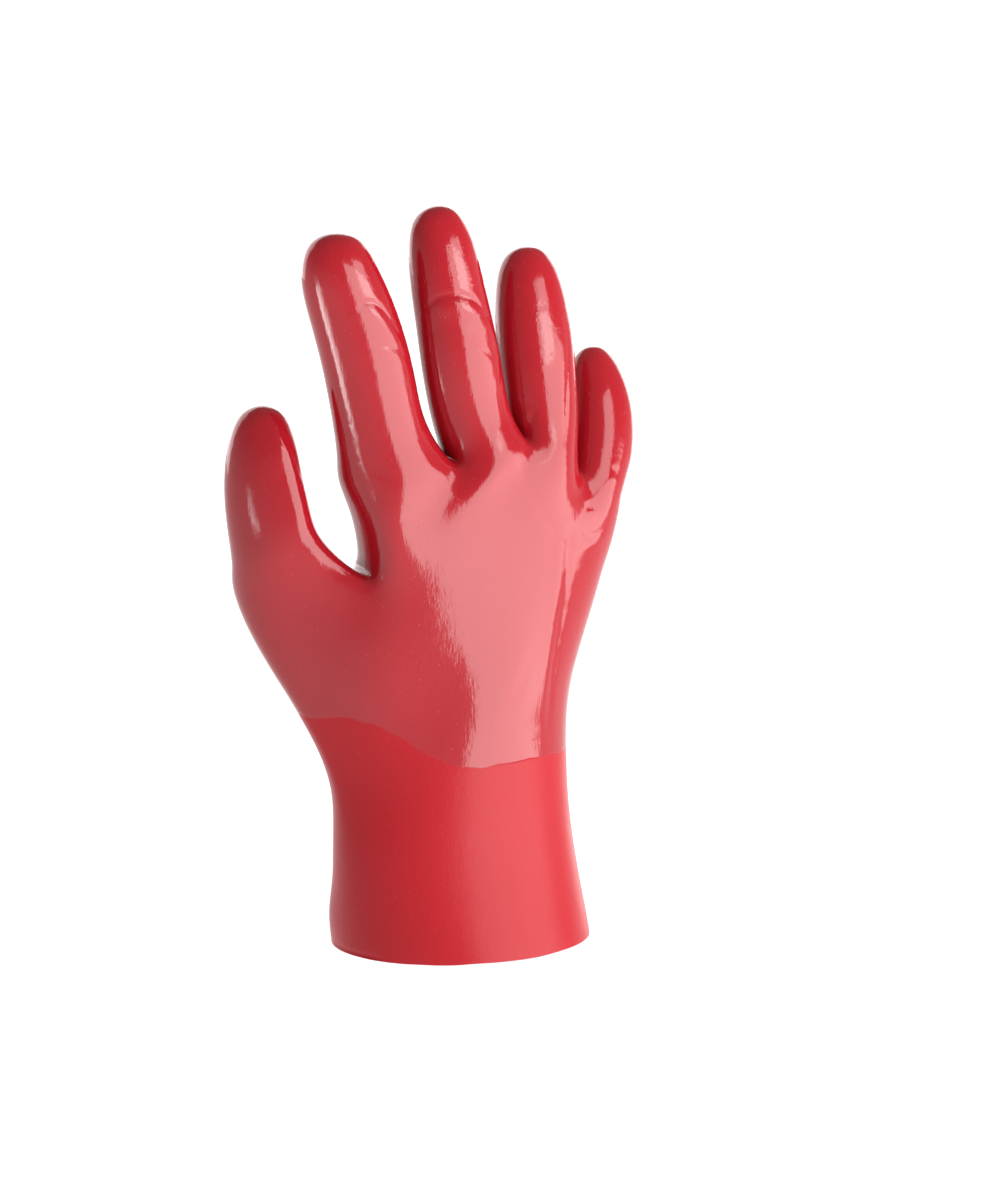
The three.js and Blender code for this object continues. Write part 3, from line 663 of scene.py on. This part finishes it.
class Skin:
    """The glove's outer surface at its finest level, and the quads of the levels below it."""

    def __init__(self):
        cage = make_cage()
        points = np.array(cage.points, float)
        quads = np.array(cage.quads)
        self.pieces = [list(cage.pieces)]
        self.quads = [quads]
        counts = [len(points)]
        for _ in range(SKIN_LEVELS):
            points, quads = subdivide(points, quads)
            self.quads.append(quads)
            self.pieces.append([piece for piece in self.pieces[-1] for _ in range(4)])
            counts.append(len(points))
        coarse = points[:counts[1]]
        low, high = coarse.min(axis=0), coarse.max(axis=0)
        points = points - np.array([(low[0] + high[0]) / 2, (low[1] + high[1]) / 2, low[2]])
        self.counts = counts
        self.points = fold_skin(points, quads)
        self.normals = normals_of(self.points, quads)

    def rim(self, level):
        """The numbers of the points on the open rim, in order round it."""
        edges, edge_of = edges_of(self.quads[level])
        sides = np.bincount(edge_of.ravel(), minlength=len(edges))
        after = {}
        for quad, numbers in zip(self.quads[level], edge_of):
            for k in range(4):
                if sides[numbers[k]] == 1:
                    after[int(quad[k])] = int(quad[(k + 1) % 4])
        start = min(after)
        loop = [start]
        while after[loop[-1]] != start:
            loop.append(after[loop[-1]])
        return loop

    def faces(self):
        """The faces of the level below the finest, split in four where the skin is fine."""
        level = SKIN_LEVELS - 1
        quads = self.quads[level]
        count = self.counts[level]
        edges, edge_of = edges_of(quads)
        fine = np.array([piece in FINE_PIECES for piece in self.pieces[level]])
        split = np.zeros(len(edges), bool)
        split[edge_of[fine].ravel()] = True
        faces = []
        for i, quad in enumerate(quads):
            if fine[i]:
                faces.extend(self.quads[level + 1][4 * i:4 * i + 4].tolist())
                continue
            corners = []
            for k in range(4):
                corners.append(int(quad[k]))
                if split[edge_of[i, k]]:
                    corners.append(int(count + edge_of[i, k]))
            faces.append(corners)
        return faces


def inset(skin, level, depth):
    """The skin's points of a level, moved in by a depth, level along the rim so that the rim stays flat."""
    count = skin.counts[level]
    normals = skin.normals[:count].copy()
    rim = skin.rim(level)
    normals[rim, 2] = 0
    normals /= np.linalg.norm(normals, axis=1)[:, None]
    return skin.points[:count] - depth * normals


def make_mesh(name, points, faces, sharp_loops, material):
    """A smooth mesh of the points that the faces use, with sharp edges along some loops."""
    used = sorted({corner for face in faces for corner in face})
    place = {old: new for new, old in enumerate(used)}
    new_faces = [[place[corner] for corner in face] for face in faces]
    mesh = bpy.data.meshes.new(name)
    mesh.from_pydata([points[i] for i in used], [], new_faces)
    mesh.shade_smooth()
    sharp = set()
    for loop in sharp_loops:
        for i, corner in enumerate(loop):
            sharp.add(frozenset((place[corner], place[loop[(i + 1) % len(loop)]])))
    for edge in mesh.edges:
        edge.use_edge_sharp = frozenset(edge.vertices) in sharp
    mesh.materials.append(material)
    mesh.validate()
    piece = bpy.data.objects.new(name, mesh)
    bpy.context.scene.collection.objects.link(piece)
    return piece


def wall_between(outer_rim, inner_rim, offset):
    """The faces of the rim between two loops; offset is added to the numbers of the inner one."""
    ratio = len(outer_rim) // len(inner_rim)
    faces = []
    for i, corner in enumerate(inner_rim):
        after = inner_rim[(i + 1) % len(inner_rim)]
        outer = [outer_rim[(ratio * i + k) % len(outer_rim)] for k in range(ratio + 1)]
        faces.append([*reversed(outer), corner + offset, after + offset])
    return faces


def shifted(corners, offset):
    return [offset + corner for corner in corners]


def make_coat(skin, material):
    offset = len(skin.points)
    inner = inset(skin, INNER_LEVEL, COAT)
    points = np.concatenate([skin.points, inner])
    faces = skin.faces()
    faces += [shifted(reversed(quad), offset) for quad in skin.quads[INNER_LEVEL].tolist()]
    outer_rim = skin.rim(SKIN_LEVELS - 1)
    inner_rim = skin.rim(INNER_LEVEL)
    faces += wall_between(outer_rim, inner_rim, offset)
    return make_mesh("glove_coat", points, faces, [outer_rim, shifted(inner_rim, offset)], material)


def make_liner(skin, material):
    quads = skin.quads[INNER_LEVEL].tolist()
    rim = skin.rim(INNER_LEVEL)
    outer = inset(skin, INNER_LEVEL, COAT + LAYER_GAP)
    inner = inset(skin, INNER_LEVEL, WALL)
    offset = len(outer)
    points = np.concatenate([outer, inner])
    faces = [list(quad) for quad in quads]
    faces += [shifted(reversed(quad), offset) for quad in quads]
    faces += wall_between(rim, rim, offset)
    return make_mesh("glove_liner", points, faces, [rim, shifted(rim, offset)], material)


# The coat's colour and gloss. The hand was dipped a second time, down to a slanting line at the wrist, and
# is glossier above it.
# The cuff's red below that line is paler, partly for its matte coat and partly as painted light that stands
# in for brighter light on the cuff.
HAND_RED = (0.315, 0.0065, 0.013, 1)
# The cuff's red: partly its paler matte coat, partly painted light that makes the cuff look more brightly
# lit
CUFF_RED_WITH_PAINTED_LIGHT = (0.37, 0.008, 0.014, 1)
SPECK_RED = (0.5, 0.06, 0.06, 1)
LINER_WHITE = (0.62, 0.56, 0.50, 1)
GLOSSY = 0.075
SATIN = 0.31
GLOSSY_LEVEL = 0.5 # how much light each part mirrors
SATIN_LEVEL = 0.22
DIP_LINE = 70 * MM # height from the middle of the glove to the little finger's side
DIP_RISE = 17 * MM # by how much it is higher on the thumb's side, between these two places of X
DIP_RISE_START = -9 * MM
DIP_RISE_END = -42 * MM
DIP_EDGE = 0.9 * MM # the height over which the gloss changes
DIP_WAVE = 6 * MM
DIP_STEP = 0.12 * MM # how much thicker the coat looks above the line
SUBSURFACE = 0.06
SUBSURFACE_RADIUS = (3 * MM, 0.6 * MM, 0.5 * MM)

# Patterns of the coat, in waves for each metre along X, Y and Z, and how strongly each one works
CLOUDS = (60, 60, 60)
CLOUD_GLOSS = 0.05
GRAIN = (700, 700, 700)
GRAIN_GLOSS = 0.03
STREAKS = (1250, 1250, 330)
STREAK_DEPTH = 0.04 * MM
ORANGE_PEEL = (240, 240, 200)
PEEL_DEPTH = 0.08 * MM
PITS = 400
PIT_INSIDE = 0.04 # distances from a pit's middle, in widths of its cell
PIT_OUTSIDE = 0.075
PIT_DEPTH = 0.05 * MM

# The liner's knit
KNIT_ROUGHNESS = 0.95
KNIT_SHEEN = 0.3
KNIT_RIBS = 220
KNIT_UNEVENNESS = 3
KNIT_DEPTH = 0.4 * MM
FLUFF = (900, 900, 900)


def new_material(name):
    material = bpy.data.materials.new(name)
    material.use_nodes = True
    nodes = material.node_tree.nodes
    return material, nodes, material.node_tree.links, nodes["Principled BSDF"]


def noise_of(nodes, links, place, scale, detail):
    """A noise texture on a place, its scale in waves for each metre along X, Y and Z."""
    stretch = nodes.new("ShaderNodeVectorMath")
    stretch.operation = "MULTIPLY"
    stretch.inputs[1].default_value = scale
    links.new(place, stretch.inputs[0])
    pattern = nodes.new("ShaderNodeTexNoise")
    pattern.inputs["Scale"].default_value = 1
    pattern.inputs["Detail"].default_value = detail
    links.new(stretch.outputs["Vector"], pattern.inputs["Vector"])
    return pattern.outputs["Fac"]


def sum_of(nodes, links, value, other, factor):
    """A value plus another one times a factor."""
    total = nodes.new("ShaderNodeMath")
    total.operation = "MULTIPLY_ADD"
    total.inputs[1].default_value = factor
    links.new(other, total.inputs[0])
    links.new(value, total.inputs[2])
    return total.outputs[0]


def ranged(nodes, links, value, low, high, at_low, at_high):
    """A value's smooth change from one number to another between two limits."""
    change = nodes.new("ShaderNodeMapRange")
    change.interpolation_type = "SMOOTHSTEP"
    change.inputs["From Min"].default_value = low
    change.inputs["From Max"].default_value = high
    change.inputs["To Min"].default_value = at_low
    change.inputs["To Max"].default_value = at_high
    links.new(value, change.inputs["Value"])
    return change.outputs["Result"]


def mixed(nodes, links, share, first, second):
    """A mix of two colours, the first one a fixed colour or a node's."""
    blend = nodes.new("ShaderNodeMix")
    blend.data_type = "RGBA"
    if isinstance(first, tuple):
        blend.inputs["A"].default_value = first
    else:
        links.new(first, blend.inputs["A"])
    blend.inputs["B"].default_value = second
    links.new(share, blend.inputs["Factor"])
    return blend.outputs["Result"]


def bump_of(nodes, links, height, depth, before=None):
    """The normals of a relief of this depth, on top of an earlier one if that is given."""
    bump = nodes.new("ShaderNodeBump")
    bump.inputs["Distance"].default_value = depth
    links.new(height, bump.inputs["Height"])
    if before is not None:
        links.new(before, bump.inputs["Normal"])
    return bump.outputs["Normal"]


def coat_material():
    """Glossy dipped vinyl over a knit that shows through in fine streaks, with small pale specks in it."""
    material, nodes, links, shader = new_material("pvc_coat")
    shader.inputs["Subsurface Weight"].default_value = SUBSURFACE
    shader.inputs["Subsurface Radius"].default_value = SUBSURFACE_RADIUS
    shader.inputs["Subsurface Scale"].default_value = 1.0
    place = nodes.new("ShaderNodeTexCoord").outputs["Object"]
    split = nodes.new("ShaderNodeSeparateXYZ")
    links.new(place, split.inputs["Vector"])
    cloud = noise_of(nodes, links, place, CLOUDS, 3)
    rise = ranged(nodes, links, split.outputs["X"], DIP_RISE_END, DIP_RISE_START, DIP_RISE, 0.0)
    height = sum_of(nodes, links, split.outputs["Z"], rise, -1)
    height = sum_of(nodes, links, height, cloud, DIP_WAVE)
    line = DIP_LINE + DIP_WAVE / 2
    dipped = ranged(nodes, links, height, line - DIP_EDGE, line, 0.0, 1.0)
    grain = noise_of(nodes, links, place, GRAIN, 2)
    gloss = ranged(nodes, links, dipped, 0.0, 1.0, SATIN, GLOSSY)
    gloss = sum_of(nodes, links, gloss, cloud, CLOUD_GLOSS)
    links.new(sum_of(nodes, links, gloss, grain, GRAIN_GLOSS), shader.inputs["Roughness"])
    level = ranged(nodes, links, dipped, 0.0, 1.0, SATIN_LEVEL, GLOSSY_LEVEL)
    links.new(level, shader.inputs["Specular IOR Level"])

    pits = nodes.new("ShaderNodeTexVoronoi")
    pits.inputs["Scale"].default_value = PITS
    pits.inputs["Randomness"].default_value = 1
    links.new(place, pits.inputs["Vector"])
    speck = ranged(nodes, links, pits.outputs["Distance"], PIT_INSIDE, PIT_OUTSIDE, 1.0, 0.0)
    # The paler red below the dip line is partly painted light on the cuff
    red = mixed(nodes, links, dipped, CUFF_RED_WITH_PAINTED_LIGHT, HAND_RED)
    links.new(mixed(nodes, links, speck, red, SPECK_RED), shader.inputs["Base Color"])

    streaks = noise_of(nodes, links, place, STREAKS, 2)
    peel = noise_of(nodes, links, place, ORANGE_PEEL, 2)
    normal = bump_of(nodes, links, peel, PEEL_DEPTH)
    normal = bump_of(nodes, links, streaks, STREAK_DEPTH, normal)
    normal = bump_of(nodes, links, speck, PIT_DEPTH, normal)
    normal = bump_of(nodes, links, dipped, DIP_STEP, normal)
    links.new(normal, shader.inputs["Normal"])
    return material


def liner_material():
    """Off-white cotton knit in fine ribs that run up the glove."""
    material, nodes, links, shader = new_material("cotton_knit")
    shader.inputs["Base Color"].default_value = LINER_WHITE
    shader.inputs["Roughness"].default_value = KNIT_ROUGHNESS
    shader.inputs["Sheen Weight"].default_value = KNIT_SHEEN
    place = nodes.new("ShaderNodeTexCoord").outputs["Object"]
    ribs = nodes.new("ShaderNodeTexWave")
    ribs.bands_direction = "DIAGONAL"
    ribs.inputs["Scale"].default_value = KNIT_RIBS
    ribs.inputs["Distortion"].default_value = KNIT_UNEVENNESS
    links.new(place, ribs.inputs["Vector"])
    fluff = noise_of(nodes, links, place, FLUFF, 3)
    normal = bump_of(nodes, links, ribs.outputs["Fac"], KNIT_DEPTH)
    links.new(bump_of(nodes, links, fluff, KNIT_DEPTH, normal), shader.inputs["Normal"])
    return material


def make_glove():
    skin = Skin()
    coat = make_coat(skin, coat_material())
    liner = make_liner(skin, liner_material())
    for piece in (coat, liner):
        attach(piece, "root")
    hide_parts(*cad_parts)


# A pale floor. What it would throw back on the glove comes from the world below it.
FLOOR_HALF = 20.0
FLOOR_GREY = 0.32
FLOOR_ROUGHNESS = 0.9
FLOOR_GLOW = 0.88


def make_floor():
    half = FLOOR_HALF
    mesh = bpy.data.meshes.new("floor")
    corners = [(-half, -half, 0), (half, -half, 0), (half, half, 0), (-half, half, 0)]
    mesh.from_pydata(corners, [], [(0, 1, 2, 3)])
    floor = bpy.data.objects.new("floor", mesh)
    material, nodes, links, shader = new_material("pale_floor")
    shader.inputs["Base Color"].default_value = (FLOOR_GREY, FLOOR_GREY, FLOOR_GREY, 1)
    shader.inputs["Roughness"].default_value = FLOOR_ROUGHNESS
    shader.inputs["Emission Color"].default_value = (FLOOR_GLOW, FLOOR_GLOW, FLOOR_GLOW, 1)
    rays = nodes.new("ShaderNodeLightPath")
    links.new(rays.outputs["Is Camera Ray"], shader.inputs["Emission Strength"])
    mesh.materials.append(material)
    bpy.context.scene.collection.objects.link(floor)
    floor.visible_diffuse = False
    floor.visible_glossy = False
    floor.visible_shadow = False


# The studio's brightness by the sine of the elevation, from under the floor to overhead
WORLD_LOWEST = -0.5
WORLD_STOPS = ((-0.35, 1.25), (0.0, 0.95), (0.1, 0.75), (0.4, 0.35), (1.0, 0.3))
BACKDROP_WHITE = (1, 1, 1, 1)


def make_world():
    """A studio that is brightest below, where the floor throws light back, with a white backdrop."""
    world = bpy.data.worlds.new("studio")
    world.use_nodes = True
    nodes, links = world.node_tree.nodes, world.node_tree.links
    place = nodes.new("ShaderNodeTexCoord")
    split = nodes.new("ShaderNodeSeparateXYZ")
    share = nodes.new("ShaderNodeMapRange")
    share.inputs["From Min"].default_value = WORLD_LOWEST
    share.inputs["From Max"].default_value = 1.0
    ramp = nodes.new("ShaderNodeValToRGB")
    stops = ramp.color_ramp.elements
    while len(stops) < len(WORLD_STOPS):
        stops.new(0.5)
    for stop, (height, brightness) in zip(stops, WORLD_STOPS):
        stop.position = (height - WORLD_LOWEST) / (1 - WORLD_LOWEST)
        stop.color = (brightness, brightness, brightness, 1)
    links.new(place.outputs["Generated"], split.inputs["Vector"])
    links.new(split.outputs["Z"], share.inputs["Value"])
    links.new(share.outputs["Result"], ramp.inputs["Fac"])
    rays = nodes.new("ShaderNodeLightPath")
    is_seen = rays.outputs["Is Camera Ray"]
    backdrop = mixed(nodes, links, is_seen, ramp.outputs["Color"], BACKDROP_WHITE)
    links.new(backdrop, nodes["Background"].inputs["Color"])
    bpy.context.scene.world = world


# The studio's soft boxes: middle in metres, the way each faces, width and height in metres, brightness, and
# the angle of its beam in degrees. The narrow beam keeps the strip off the thumb.
SoftBox = namedtuple("SoftBox", "name middle faces width height radiance beam")
SOFT_BOXES = (
    SoftBox("key", (1.83, -1.2, 0.28), (0, 1, 0), 3.54, 1.56, 4.6, 180),
    SoftBox("strip", (-0.35, -0.13, 0.205), (0.98, 0.15, 0.22), 0.22, 0.14, 0.44, 34),
    SoftBox("little_finger", (0.12, -0.15, 0.335), (-0.055, 0.15, -0.145), 0.11, 0.1, 4.2, 180),
    SoftBox("rim", (1.5, 1.3, 0.4), (-1.5, -1.3, 0), 1.2, 1.4, 2.4, 180),
    SoftBox("back", (-0.1, 1.5, 0.7), (0.1, -1.5, -0.35), 2.2, 1.3, 2.0, 180),
)


def make_light(box):
    light = bpy.data.lights.new(box.name, "AREA")
    light.shape = "RECTANGLE"
    light.size = box.width
    light.size_y = box.height
    light.energy = box.radiance * math.pi * box.width * box.height
    light.spread = math.radians(box.beam)
    lamp = bpy.data.objects.new(box.name, light)
    lamp.location = box.middle
    lamp.rotation_euler = Vector(box.faces).to_track_quat("-Z", "Y").to_euler()
    lamp.visible_camera = False
    bpy.context.scene.collection.objects.link(lamp)


def make_camera():
    data = bpy.data.cameras.new("camera")
    data.sensor_fit = "AUTO"
    data.sensor_width = SENSOR
    data.lens = SENSOR * PIXELS_PER_METRE * CAMERA_DISTANCE / PHOTO_HEIGHT
    camera = bpy.data.objects.new("camera", data)
    camera.location = camera_place()
    camera.rotation_euler = (-camera_back()).to_track_quat("-Z", "Y").to_euler()
    bpy.context.scene.collection.objects.link(camera)
    bpy.context.scene.camera = camera
    bpy.context.scene.view_settings.view_transform = "Standard"


make_camera()
make_glove()
make_floor()
make_world()
for soft_box in SOFT_BOXES:
    make_light(soft_box)
